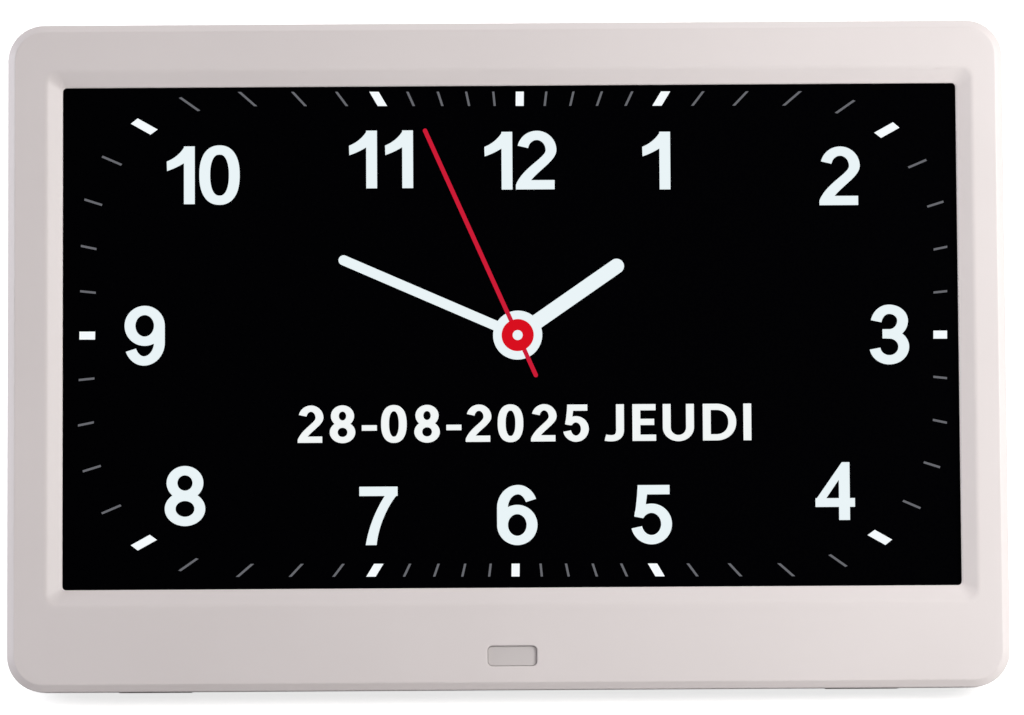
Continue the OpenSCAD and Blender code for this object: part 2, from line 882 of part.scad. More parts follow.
// A flat socket: a folded shell with a tongue inside, open towards the right wall
module flat_socket(z, w, t, l, shell, tongue) {
    difference() {
        translate([port_x - l, board_back, z - w / 2])
        cube([l, t, w]);
        translate([port_x - l + 2, board_back + shell, z - w / 2 + shell])
        cube([l, t - 2 * shell, w - 2 * shell]);
    }
    if (tongue > 0)
        translate([port_x - l + 1, board_back + t / 2, z - w / 2 + 1])
        cube([l - 3, tongue, w - 2]);
}

module usb_socket() {
    color("silver")
    lean()
    flat_socket(usb_z, usb_w, usb_t, usb_l, socket_sheet, usb_tongue);
}

module card_socket() {
    color("silver")
    lean()
    flat_socket(card_z, card_w, card_t, card_l, socket_sheet, 0);
}

module cell_holder() {
    color("black")
    lean()
    difference() {
        rod_y(cell_x, cell_z, cell_holder_r, board_back, board_back + cell_holder_t);
        rod_y(cell_x, cell_z, cell_r + 0.15, board_back + cell_floor_t, board_back + cell_holder_t + past);
    }
}

module backup_cell() {
    color("silver")
    lean()
    rod_y(cell_x, cell_z, cell_r, board_back + cell_floor_t, board_back + cell_holder_t);
}

// Speakers, behind the grilles
module speaker(side) {
    translate([side * speaker_x, 0, speaker_z]) {
        difference() {
            slab(speaker_y - speaker_rim_t, speaker_y)
            rounded_rect(speaker_w, speaker_h, 4);
            slab(speaker_y - speaker_cone_t, speaker_y + past)
            rounded_rect(speaker_w - 5, speaker_h - 5, 3);
        }
        slab(speaker_y - speaker_basket_d, speaker_y - speaker_rim_t)
        rounded_rect(speaker_w - 6, speaker_h - 4, 3);
        slab(speaker_y - speaker_magnet_d, speaker_y - speaker_basket_d)
        circle(r = speaker_magnet_r);
    }
}

module speaker_left() {
    color("dimgray")
    lean()
    speaker(-1);
}

module speaker_right() {
    color("dimgray")
    lean()
    speaker(1);
}

// A lead swept along its route, as rings of eight points set square to the way it runs
module lead(route, r) {
    last = len(route) - 1;
    sides = 8;
    function way(i) = route[min(i + 1, last)] - route[max(i - 1, 0)];
    function across(i) = cross(way(i), [0, 1, 0]) / norm(cross(way(i), [0, 1, 0]));
    function ring(i) = [for (k = [0 : sides - 1])
        route[i] + r * (cos(360 * k / sides) * across(i)
            + sin(360 * k / sides) * cross(across(i), way(i)) / norm(way(i)))];
    skin([for (i = [0 : last]) ring(i)]);
}

module speaker_leads() {
    color("firebrick")
    lean() {
        lead([[-speaker_x + 8, lead_y, lead_low], [-60, lead_y, lead_low + 5],
            [50, lead_y, lead_low + 5], [board_x - 17, board_back + lead_r, board_z + 2]], lead_r);
        lead([[speaker_x - 8, lead_y, lead_low], [board_x - 8, lead_y, lead_low + 4],
            [board_x - 10, board_back + lead_r, board_z + 2]], lead_r);
    }
}

module key_lead() {
    color("firebrick")
    lean()
    lead([[key_post_x - 5, key_board_back + lead_r, key_board_low + 2],
        [key_post_x - 4, key_board_back + lead_r, key_board_low - 8],
        [board_x - 19, board_back + 2, board_z + board_h + 6],
        [board_x - 17, board_back + lead_r, board_z + board_h - 2]], lead_r);
}

// Key board and its switches, behind the buttons
module key_board() {
    color("darkgreen")
    lean()
    difference() {
        block(0, button_z, key_board_w, key_board_h, key_board_y, key_board_back);
        for (s = [-1, 1])
            rod_y(s * key_post_x, button_z, small_screw_r + 0.1, key_board_y - past, key_board_back + past);
    }
}

module key_switches() {
    color("black")
    lean()
    for (i = [0 : button_count - 1]) {
        block(button_x(i), button_z, 6, 6, key_board_back, key_board_back + switch_h);
        rod_y(button_x(i), button_z, 1.5, key_board_back + switch_h, stem_y);
    }
}

module key_board_screws() {
    color("dimgray")
    lean()
    for (s = [-1, 1])
        pan_screw(s * key_post_x, button_z, small_screw_r, small_head_r, small_head_t,
            key_board_y, key_screw_l, false);
}

// One button: a cap with a chamfered edge and the flange that keeps it in
module button(i) {
    top = back_d + button_out;
    edge = 0.4;
    color("gainsboro")
    lean()
    translate([button_x(i), 0, button_z])
    rotate([-90, 0, 0]) {
        translate([0, 0, flange_y])
        cylinder(r = button_r + flange_w, h = flange_t);
        translate([0, 0, flange_y])
        cylinder(r = button_r, h = top - edge - flange_y);
        translate([0, 0, top - edge])
        cylinder(r1 = button_r, r2 = button_r - edge, h = edge);
    }
}

module power_button() button(0);
module menu_button() button(1);
module left_button() button(2);
module up_button() button(3);
module down_button() button(4);
module right_button() button(5);
module ok_button() button(6);

// The leg, drawn folded: its outline between two heights, at a given inset. It is as wide
// as its hinge down to taper_z, and tapers from there to its foot.
module leg_outline(low, high, inset) {
    fall = (leg_w - leg_tip_w) / 2 / (taper_z - hinge_z + leg_reach);
    function half(z) = leg_w / 2 - max(taper_z - z, 0) * fall - inset;
    heights = high > taper_z ? [low, taper_z, high] : [low, high];
    polygon(concat([for (z = heights) [half(z), z]],
        [for (i = [len(heights) - 1 : -1 : 0]) [-half(heights[i]), heights[i]]]));
}

// Everything above the table, or above a plane that is raised from it, with the leg folded
module above_table(raise) {
    translate([0, hinge_y, hinge_z - leg_reach])
    rotate([-tilt, 0, 0])
    translate([-leg_w, -4 * leg_t, raise])
    cube([2 * leg_w, 8 * leg_t, 2 * leg_reach]);
}

module stand_leg() {
    low = hinge_z - leg_reach - 3;
    pocket_low = hinge_z - leg_reach + pad_t + 3;
    pocket_high = hinge_z - barrel_r - 1;
    color("gainsboro")
    lean()
    open_leg()
    difference() {
        union() {
            intersection() {
                slab(leg_front, leg_back)
                leg_outline(low, hinge_z, 0);
                above_table(pad_t);
            }
            translate([-leg_w / 2, hinge_y, hinge_z])
            rotate([0, 90, 0])
            cylinder(r = barrel_r, h = leg_w);
            leg_heel();
        }
        difference() {
            slab(leg_front - past, leg_back - leg_skin)
            leg_outline(pocket_low, pocket_high, leg_rib);
            for (i = [1 : leg_ribs])
                block(0, pocket_low + i * (pocket_high - pocket_low) / (leg_ribs + 1),
                    leg_w, leg_rib, leg_front - past, leg_back);
            block(0, (pocket_low + pocket_high) / 2, leg_rib, leg_reach, leg_front - past, leg_back);
        }
        translate([-leg_w / 2 - past, hinge_y, hinge_z])
        rotate([0, 90, 0])
        cylinder(r = pin_r + run_gap, h = leg_w + 2 * past);
    }
}

// The heel that stops the open leg against the floor of its recess
module leg_heel() {
    translate([0, hinge_y, hinge_z])
    rotate([-leg_angle, 0, 0])
    translate([-leg_heel_w / 2, recess_y + stop_gap - hinge_y, 0])
    cube([leg_heel_w, hinge_y - recess_y - stop_gap, leg_heel_h]);
}

module leg_foot_pad() {
    low = hinge_z - leg_reach - 3;
    color("dimgray")
    lean()
    open_leg()
    difference() {
        intersection() {
            slab(leg_front, leg_back)
            leg_outline(low, low + 12, 0);
            above_table(0);
        }
        above_table(pad_t);
    }
}

module hinge_pin() {
    color("silver")
    lean()
    translate([-pin_l / 2, hinge_y, hinge_z])
    rotate([0, 90, 0]) {
        cylinder(r = pin_r, h = pin_l + pin_tail);
        translate([0, 0, -pin_head_t])
        cylinder(r = pin_head_r, h = pin_head_t);
    }
}

module friction_washers() {
    color("silver")
    lean()
    for (s = [0, 1])
        mirror([s, 0, 0])
        translate([leg_w / 2 + fit_gap, hinge_y, hinge_z])
        rotate([0, 90, 0])
        difference() {
            cylinder(r = washer_r, h = washer_t);
            translate([0, 0, -past])
            cylinder(r = pin_r + run_gap, h = washer_t + 2 * past);
        }
}

// Rubber feet under the rear cover, whose backs slope to lie flat on the table
module rubber_feet() {
    slope_z = (foot_end_y - foot_break_y) * tan(lean_angle);
    color("dimgray")
    lean()
    for (s = [-1, 1])
        translate([s * feet_span / 2 + foot_l / 2, 0, 0])
        rotate([0, -90, 0])
        linear_extrude(foot_l)
        polygon([[cover_inset, foot_y], [0, foot_y], [0, foot_break_y],
            [slope_z, foot_end_y], [cover_inset, foot_end_y]]);
}

module case_screws() {
    color("dimgray")
    lean()
    for (p = screw_places)
        pan_screw(p[0], p[1], screw_r, screw_head_r, screw_head_t, well_floor_y,
            well_floor_y - face_t - 1, true);
}

front_bezel();
rear_cover();
ir_window();
ir_receiver();
ir_board();
display_cell();
light_guide();
backlight_frame();
backlight_tray();
display_driver_board();
display_ribbon();
display_clamps();
clamp_screws();
main_board();
board_chips();
board_screws();
dc_jack();
usb_socket();
card_socket();
backup_cell();
cell_holder();
speaker_left();
speaker_right();
speaker_leads();
key_lead();
key_board();
key_switches();
key_board_screws();
power_button();
menu_button();
left_button();
up_button();
down_button();
right_button();
ok_button();
stand_leg();
hinge_pin();
friction_washers();
leg_foot_pad();
rubber_feet();
case_screws();
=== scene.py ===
"""The looks of a dementia day clock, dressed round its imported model.

Places and sizes are in metres, except where a name ends in _mm or _MM. The picture on the display
is laid out in millimetres from its middle, across to the right and up the glass, and every numeral
and letter in hundredths of its own height.
"""
import json
import math

import bpy
import numpy as np
from mathutils import Matrix, Vector


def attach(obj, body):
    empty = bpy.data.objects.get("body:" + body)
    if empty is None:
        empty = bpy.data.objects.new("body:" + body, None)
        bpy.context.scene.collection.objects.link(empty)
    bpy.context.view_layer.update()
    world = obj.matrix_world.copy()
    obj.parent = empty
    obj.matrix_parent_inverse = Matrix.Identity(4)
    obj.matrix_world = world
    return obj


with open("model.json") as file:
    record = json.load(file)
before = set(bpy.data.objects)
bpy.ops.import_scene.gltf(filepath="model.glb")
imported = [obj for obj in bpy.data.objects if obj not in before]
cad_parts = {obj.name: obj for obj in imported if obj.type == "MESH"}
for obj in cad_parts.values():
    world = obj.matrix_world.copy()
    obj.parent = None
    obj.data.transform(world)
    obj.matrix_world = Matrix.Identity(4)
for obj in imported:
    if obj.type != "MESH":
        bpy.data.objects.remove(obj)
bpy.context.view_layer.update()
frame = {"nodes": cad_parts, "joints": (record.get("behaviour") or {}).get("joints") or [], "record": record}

MM = 0.001

# Camera: where the photograph was taken from, worked out from the casing's corners in it
CAMERA_TARGET = Vector((0.00133, -0.00953, 0.0830))
CAMERA_DISTANCE = 1.3
CAMERA_ELEVATION = math.radians(13.12)
CAMERA_ROLL = math.radians(-0.34)
CAMERA_LENS_MM = 184.2
CAMERA_SENSOR_MM = 36
CAMERA_CLIP = (0.05, 50)

# Studio: how bright the world lights the clock and in what colour, the floor's paint, what the
# floor adds where it is seen and how long its sides are, and the place, side of the square, watts
# and colour of each soft lamp
AMBIENT = 0.27
AMBIENT_TINT = "#FFF0F3"
FLOOR_PAINT = "#C8C8C8"
FLOOR_LIFT = 0.75
FLOOR_SIZE = 8
WHITE = "#FFFFFF"
LAMPS = {
    "lamp_right": ((0.5, -0.4, 0.32), 0.35, 4, "#FFFDFB"),
    "lamp_left": ((-0.8, 0, 0.28), 0.5, 4.1, "#F6F8FF"),
    "lamp_top": ((0.1, 0.35, 1.2), 0.6, 3.6, WHITE),
    "lamp_behind": ((0.3, 1.0, 0.7), 0.6, 8.0, WHITE)}

# Every finish: between which values a noise mostly lies
NOISE_EXTREMES = (0.3, 0.7)

# Moulded plastic: how wide the patches of its colour are, how strong its relief is, how far its
# gloss varies either way, and how often its rounded edges are sampled
PATCH_MM = 60
RELIEF = 0.5
GLOSS_SPREAD = 0.05
BEVEL_SAMPLES = 6

# Sheet metal: how far the rolls stretch its streaks, how far its gloss varies, and its relief
ROLL_STRETCH = 20
METAL_SPREAD = 0.08
METAL_RELIEF = 0.2
METAL_RELIEF_MM = 0.01

# Display's film: the etching on it, drawn far coarser than the real one, which is too fine to show
ETCH_MM = 0.6

# Circuit board: how far apart the patches without copper lie, and how much of that it is from the
# middle of one to the copper
BARE_PATCH_MM = 2.2
COPPER_STARTS = 0.42

# Picture on the display: how far its middle lies above the cell's, where the dial's middle lies in
# it, how much flatter than a circle the dial is, and its lean: what a millimetre across and one
# upward on the dial become on the glass
PICTURE_LIFT_MM = 3.25
DIAL_MIDDLE_MM = np.array((1.77, 0.2))
DIAL_SQUEEZE = 0.968
DIAL_LEAN = np.array(((1, -0.0048), (0.0148, 1)))

# Marks: middle and half sizes of the outer and the inner edge of their band, the radius of its
# corners and how far that drifts, and the width of a mark
MARKS_EDGES_MM = np.array((((-1.1, 0.5), (107.9, 60.55)), ((-0.85, 0.3), (104.25, 57.15))))
MARKS_CORNER_MM = 36
MARKS_CORNER_DRIFT_MM = 1.1
HOUR_MARK_MM = 2.0
MINUTE_MARK_MM = 0.54
MINUTES = 60
MINUTES_PER_HOUR_MARK = 5

# Hub: the radius of its white disc, of the red one on it and of the white dot on that
HUB_MM = 6.12
HUB_RED_MM = 4
HUB_DOT_MM = 1.25

# Hands: where the hour, minute and second hand stand, in minutes of the dial, then how far each
# one's straight part runs with half its width, and how far the second hand starts behind the hub
HAND_PLACES = (9, 49, 56)
HOUR_HAND_MM = (29.9, 1.87)
MINUTE_HAND_MM = (47.4, 1.25)
SECOND_HAND_MM = (67.4, 0.54)
SECOND_TAIL_MM = 11

# Numerals of the dial: their height, the pen that draws them, as the widths of an upright and of
# a level stroke, the middle of each, and what two figures stand apart beyond their own widths
NUMERAL_HEIGHT_MM = 14.5
NUMERAL_PEN = (18.6, 16)
NUMERAL_PLACES_MM = {
    "12": (2.65, 43.9), "1": (36.6, 43.7), "2": (82.2, 39.5), "3": (94.25, -0.2),
    "4": (80.4, -39.2), "5": (34.65, -44.6), "6": (1.4, -44.6), "7": (-33, -44.6),
    "8": (-81, -39.4), "9": (-91, 0.6), "10": (-76.4, 40.7), "11": (-32.05, 44.4)}
NUMERAL_GAPS = {"10": 8, "11": 14, "12": 6}

# Date: a day, a month, a year and a weekday, their height and pen, and where they start
DATE_WORDS = "28-08-2025 JEUDI"
DATE_HEIGHT_MM = 9.15
DATE_PEN = (21.5, 17)
DATE_START_MM = (-53, -26.35)

# How far each sign moves the next one along, in hundredths of the height, and how far a round
# one reaches past the line at its top and bottom
NUMERAL_WIDTHS = {"0": 69.4, "1": 48, "2": 69, "3": 68, "4": 69, "5": 70, "6": 69, "7": 68,
                  "8": 69.4, "9": 69}
DATE_ADVANCES = {"0": 90, "2": 87, "5": 81, "8": 87, "-": 52.5, " ": 33,
                 "J": 74.7, "E": 82.4, "U": 108.7, "D": 110.1, "I": 22.6}
OVERSHOOT = 1.5

# How low lit shapes and printed ones begin and how far they stand proud, and what each later bar
# of a shape adds, until the heights repeat
LIT_LOW_MM = -0.01
LIT_HIGH_MM = 0.02
INK_HIGH_MM = 0.03
BAR_STEP_MM = 0.004
BAR_STEPS = 4

# How far round a hand's end is followed to either side, in degrees, before a cap closes it, and
# how many points both ends have together
ROUND_END = 88
ROUND_POINTS = 28

# Signs on the buttons, each from the middle of its cap: half the pen's width, the pen and radius
# of the plain ring, the radius of the broken ring and the ends of the upright in it, half the
# length and the heights of the menu's bars, and the arrow's tip and wings
SIGN_HALF_PEN_MM = 0.18
RING_PEN_MM = 0.4
RING_MM = 1.1
POWER_RING_MM = 1.3
POWER_BAR_MM = (0.3, 1.7)
MENU_HALF_MM = 1.2
MENU_ROWS_MM = (-0.85, 0, 0.85)
ARROW_MM = ((1.3, 0), (-0.7, 1.15), (-0.7, -1.15))

# Points of a solid that lie no further than this behind its furthest one are on the same face
FLAT_MM = 0.02

ACROSS = np.array([1.0, 0.0, 0.0])
OUT_OF_GLASS = np.array(next(joint["axis"] for joint in frame["joints"]
                             if joint["name"] == "power_button_travel"))
UP_THE_GLASS = np.cross(OUT_OF_GLASS, ACROSS)


# ---------------------------------------------------------------- materials

def linear(hex_colour):
    """An sRGB hex colour as linear red, green, blue and alpha."""
    srgb = np.array([int(hex_colour[i:i + 2], 16) for i in (1, 3, 5)]) / 255
    flat = np.where(srgb <= 0.04045, srgb / 12.92, ((srgb + 0.055) / 1.055) ** 2.4)
    return (*flat.tolist(), 1.0)


def add(tree, kind, links=None, values=None, **settings):
    """Adds one node to a tree: its settings, the values of its sockets and the links into them."""
    made = tree.nodes.new(kind)
    for name, value in settings.items():
        setattr(made, name, value)
    for socket, value in (values or {}).items():
        made.inputs[socket].default_value = value
    for socket, source in (links or {}).items():
        tree.links.new(source, made.inputs[socket])
    return made


def empty_tree(owner):
    """The node tree of a new material or world, without the nodes it came with."""
    owner.use_nodes = True
    owner.node_tree.nodes.clear()
    return owner.node_tree


def wandering_colour(tree, noise, low, high):
    """Colour between two hex values, as far along as a noise is between its common extremes."""
    amount = add(tree, "ShaderNodeMapRange", {"Value": noise.outputs["Fac"]},
                 {"From Min": NOISE_EXTREMES[0], "From Max": NOISE_EXTREMES[1]})
    mix = add(tree, "ShaderNodeMix", {"Factor": amount.outputs["Result"]},
              {"A": linear(low), "B": linear(high)}, data_type="RGBA")
    return mix.outputs["Result"]


def moulded_plastic(name, low, high, roughness, grain_mm, depth_mm, edge_mm=0.25):
    """Moulded plastic: a slow drift of colour between two values, the fine spark-eroded grain
    of its mould in its gloss and relief, and edges that the mould leaves slightly round."""
    material = bpy.data.materials.new(name)
    tree = empty_tree(material)
    place = add(tree, "ShaderNodeTexCoord").outputs["Object"]
    patches = add(tree, "ShaderNodeTexNoise", {"Vector": place}, {"Scale": 1 / (PATCH_MM * MM)})
    fine = add(tree, "ShaderNodeTexNoise", {"Vector": place}, {"Scale": 1 / (grain_mm * MM)})
    edge = add(tree, "ShaderNodeBevel", None, {"Radius": edge_mm * MM}, samples=BEVEL_SAMPLES)
    relief = add(tree, "ShaderNodeBump",
                 {"Height": fine.outputs["Fac"], "Normal": edge.outputs["Normal"]},
                 {"Strength": RELIEF, "Distance": depth_mm * MM})
    gloss = add(tree, "ShaderNodeMapRange", {"Value": fine.outputs["Fac"]},
                {"To Min": roughness - GLOSS_SPREAD, "To Max": roughness + GLOSS_SPREAD})
    shader = add(tree, "ShaderNodeBsdfPrincipled",
                 {"Base Color": wandering_colour(tree, patches, low, high),
                  "Normal": relief.outputs["Normal"], "Roughness": gloss.outputs["Result"]})
    add(tree, "ShaderNodeOutputMaterial", {"Surface": shader.outputs["BSDF"]})
    return material


def sheet_metal(name, low, high, roughness, streak_mm):
    """Cold-rolled steel with a thin plating: fine streaks along x from the rolls."""
    material = bpy.data.materials.new(name)
    tree = empty_tree(material)
    place = add(tree, "ShaderNodeTexCoord").outputs["Object"]
    stretched = add(tree, "ShaderNodeMapping", {"Vector": place},
                    {"Scale": (1 / ROLL_STRETCH, 1, 1)})
    streaks = add(tree, "ShaderNodeTexNoise", {"Vector": stretched.outputs["Vector"]},
                  {"Scale": 1 / (streak_mm * MM), "Detail": 3.0})
    gloss = add(tree, "ShaderNodeMapRange", {"Value": streaks.outputs["Fac"]},
                {"To Min": roughness - METAL_SPREAD, "To Max": roughness + METAL_SPREAD})
    relief = add(tree, "ShaderNodeBump", {"Height": streaks.outputs["Fac"]},
                 {"Strength": METAL_RELIEF, "Distance": METAL_RELIEF_MM * MM})
    shader = add(tree, "ShaderNodeBsdfPrincipled",
                 {"Base Color": wandering_colour(tree, streaks, low, high),
                  "Normal": relief.outputs["Normal"], "Roughness": gloss.outputs["Result"]},
                 {"Metallic": 1.0})
    add(tree, "ShaderNodeOutputMaterial", {"Surface": shader.outputs["BSDF"]})
    return material


def glowing(name, colour):
    """Pixels of the display that are switched on: they shine at just the colour written here."""
    material = bpy.data.materials.new(name)
    tree = empty_tree(material)
    shader = add(tree, "ShaderNodeEmission", None, {"Color": linear(colour), "Strength": 1.0})
    add(tree, "ShaderNodeOutputMaterial", {"Surface": shader.outputs["Emission"]})
    return material


def display_film(name):
    """Unlit display under its polarising film: near black, with an anti-reflection surface so
    fine in its etching that a lamp is only a faint haze in it."""
    material = bpy.data.materials.new(name)
    tree = empty_tree(material)
    place = add(tree, "ShaderNodeTexCoord").outputs["Object"]
    etch = add(tree, "ShaderNodeTexNoise", {"Vector": place}, {"Scale": 1 / (ETCH_MM * MM)})
    gloss = add(tree, "ShaderNodeMapRange", {"Value": etch.outputs["Fac"]},
                {"To Min": 0.42, "To Max": 0.5})
    shader = add(tree, "ShaderNodeBsdfPrincipled",
                 {"Base Color": wandering_colour(tree, etch, "#000001", "#010102"),
                  "Roughness": gloss.outputs["Result"]},
                 {"IOR": 1.49, "Specular IOR Level": 0.006})
    add(tree, "ShaderNodeOutputMaterial", {"Surface": shader.outputs["BSDF"]})
    return material


def circuit_board(name):
    """Glass epoxy board under green solder mask, which is paler over the copper that runs between
    darker patches."""
    material = bpy.data.materials.new(name)
    tree = empty_tree(material)
    place = add(tree, "ShaderNodeTexCoord").outputs["Object"]
    patches = add(tree, "ShaderNodeTexVoronoi", {"Vector": place},
                  {"Scale": 1 / (BARE_PATCH_MM * MM)}, distance="CHEBYCHEV")
    copper = add(tree, "ShaderNodeMath", {0: patches.outputs["Distance"]}, {1: COPPER_STARTS},
                 operation="GREATER_THAN")
    colour = add(tree, "ShaderNodeMix", {"Factor": copper.outputs["Value"]},
                 {"A": linear("#1F5A34"), "B": linear("#3D7A4A")}, data_type="RGBA")
    shader = add(tree, "ShaderNodeBsdfPrincipled", {"Base Color": colour.outputs["Result"]},
                 {"Roughness": 0.35, "IOR": 1.52})
    add(tree, "ShaderNodeOutputMaterial", {"Surface": shader.outputs["BSDF"]})
    return material


def make_materials():
    """Every finish of the clock, by the name of the record's material slot. A moulded plastic has
    two colours, its roughness, the size and depth of its grain in millimetres, and some the round
    of its edges. The grains are coarser than real ones, which are too fine to show."""
    return {
        # Satin ABS, silver white with a breath of pink, whose soft edges catch a thin light
        "front_casing": moulded_plastic(
            "satin_moulded_abs", "#D5D0CF", "#D9D4D3", 0.38, 0.5, 0.006, 0.55),
        # The same ABS with a deeper spark-eroded grain, which hides scratches on the back
        "rear_casing": moulded_plastic(
            "grained_moulded_abs", "#D3CFCD", "#D8D4D2", 0.52, 0.8, 0.03),
        # A shade darker than the cover, as the leg comes from another mould
        "leg_plastic": moulded_plastic("leg_moulded_abs", "#CFCBC9", "#D5D1CF", 0.5, 0.8, 0.03),
        # Button caps are polished more than the back round them
        "button_plastic": moulded_plastic(
            "button_moulded_abs", "#C7C4C3", "#CCC9C8", 0.32, 0.5, 0.005),
        # Polycarbonate that lets infrared through: a flat warm grey, glossier than the bezel
        "window_plastic": moulded_plastic(
            "infrared_polycarbonate", "#C3BFBE", "#C8C4C3", 0.22, 0.6, 0.002, 0.15),
        # A black that gives back almost no light, so that the lit pixels stand out
        "display_glass": display_film("anti_glare_polariser"),
        # Acrylic of the light guide: a cold white, polished so that it carries the light
        "clear_plastic": moulded_plastic(
            "acrylic_light_guide", "#EDF1F2", "#F4F7F7", 0.1, 1, 0.001),
        # A warmer and duller white, for the frame round the backlight
        "white_plastic": moulded_plastic(
            "white_polycarbonate", "#E9E8E4", "#EFEEEA", 0.45, 0.6, 0.01),
        # Bright plating that blurs what it mirrors along the rolls' streaks
        "sheet_steel": sheet_metal("plated_sheet_steel", "#B9BBBC", "#C9CBCC", 0.34, 0.4),
        # Black zinc on screws, pin and washers: a dark metal with a dull shine
        "screw_steel": sheet_metal("black_zinc_screw_steel", "#3A3B3D", "#4A4B4D", 0.36, 0.3),
        # Green mask over copper, glossy as lacquer
        "circuit_board": circuit_board("green_masked_glass_epoxy"),
        # Amber film, smooth enough to shine
        "ribbon_film": moulded_plastic("polyimide_film", "#B9782C", "#C4822F", 0.25, 0.8, 0.002),
        # Nylon of chips, switches and speakers: near black, with a dull grain
        "black_plastic": moulded_plastic(
            "black_moulded_nylon", "#17181A", "#1E1F21", 0.48, 0.5, 0.01),
        # Red PVC drawn over the leads, slightly waxy
        "lead_insulation": moulded_plastic(
            "red_pvc_insulation", "#A32A22", "#AE3128", 0.4, 0.6, 0.004),
        # Pale silicone rubber: soft edges, no gloss, and a little dust in its grain
        "foot_rubber": moulded_plastic(
            "moulded_silicone_rubber", "#B6B3B1", "#BFBCBA", 0.72, 0.6, 0.02, 0.4),
    }


# ---------------------------------------------------------------- shapes of the lit picture

def pen_stroke(path, pen):
    """Edges of a stroke drawn along a path. Each edge lies off the path by half the pen times the
    path's own unit normal, so that upright strokes are pen[0] wide and level ones pen[1] thick."""
    path = np.asarray(path, float)
    along = np.gradient(path, axis=0)
    if np.allclose(path[0], path[-1]):
        along[0] = along[-1] = path[1] - path[-2]
    along /= np.linalg.norm(along, axis=1, keepdims=True)
    half = np.stack([-along[:, 1] * pen[0], along[:, 0] * pen[1]], axis=1) / 2
    return path + half, path - half


def bend(middle, radii, start, end, steps=28, power=2.0):
    """Points of a superellipse between two angles in degrees: each radius times the cosine or
    the sine, raised to 2 / power with its sign kept. Power 2 is a plain ellipse."""
    angle = np.radians(np.linspace(start, end, steps))
    turn = np.stack([np.cos(angle), np.sin(angle)], axis=1)
    return np.asarray(middle) + np.sign(turn) * np.abs(turn) ** (2 / power) * radii


def sweep(a, b, c, d, steps=20):
    """Points of the cubic Bezier curve from a to d that b and c draw it towards."""
    t = np.linspace(0, 1, steps)[:, None]
    a, b, c, d = (np.asarray(p, float) for p in (a, b, c, d))
    return (1 - t) ** 3 * a + 3 * t * (1 - t) ** 2 * b + 3 * t ** 2 * (1 - t) * c + t ** 3 * d


def run(*points):
    """A path straight from each point to the next."""
    return np.asarray(points, float)


def smooth_join(*stretches):
    """Stretches of a path one after another, without the doubled point where two meet."""
    return np.concatenate([stretches[0]] + [s[1:] for s in stretches[1:]])


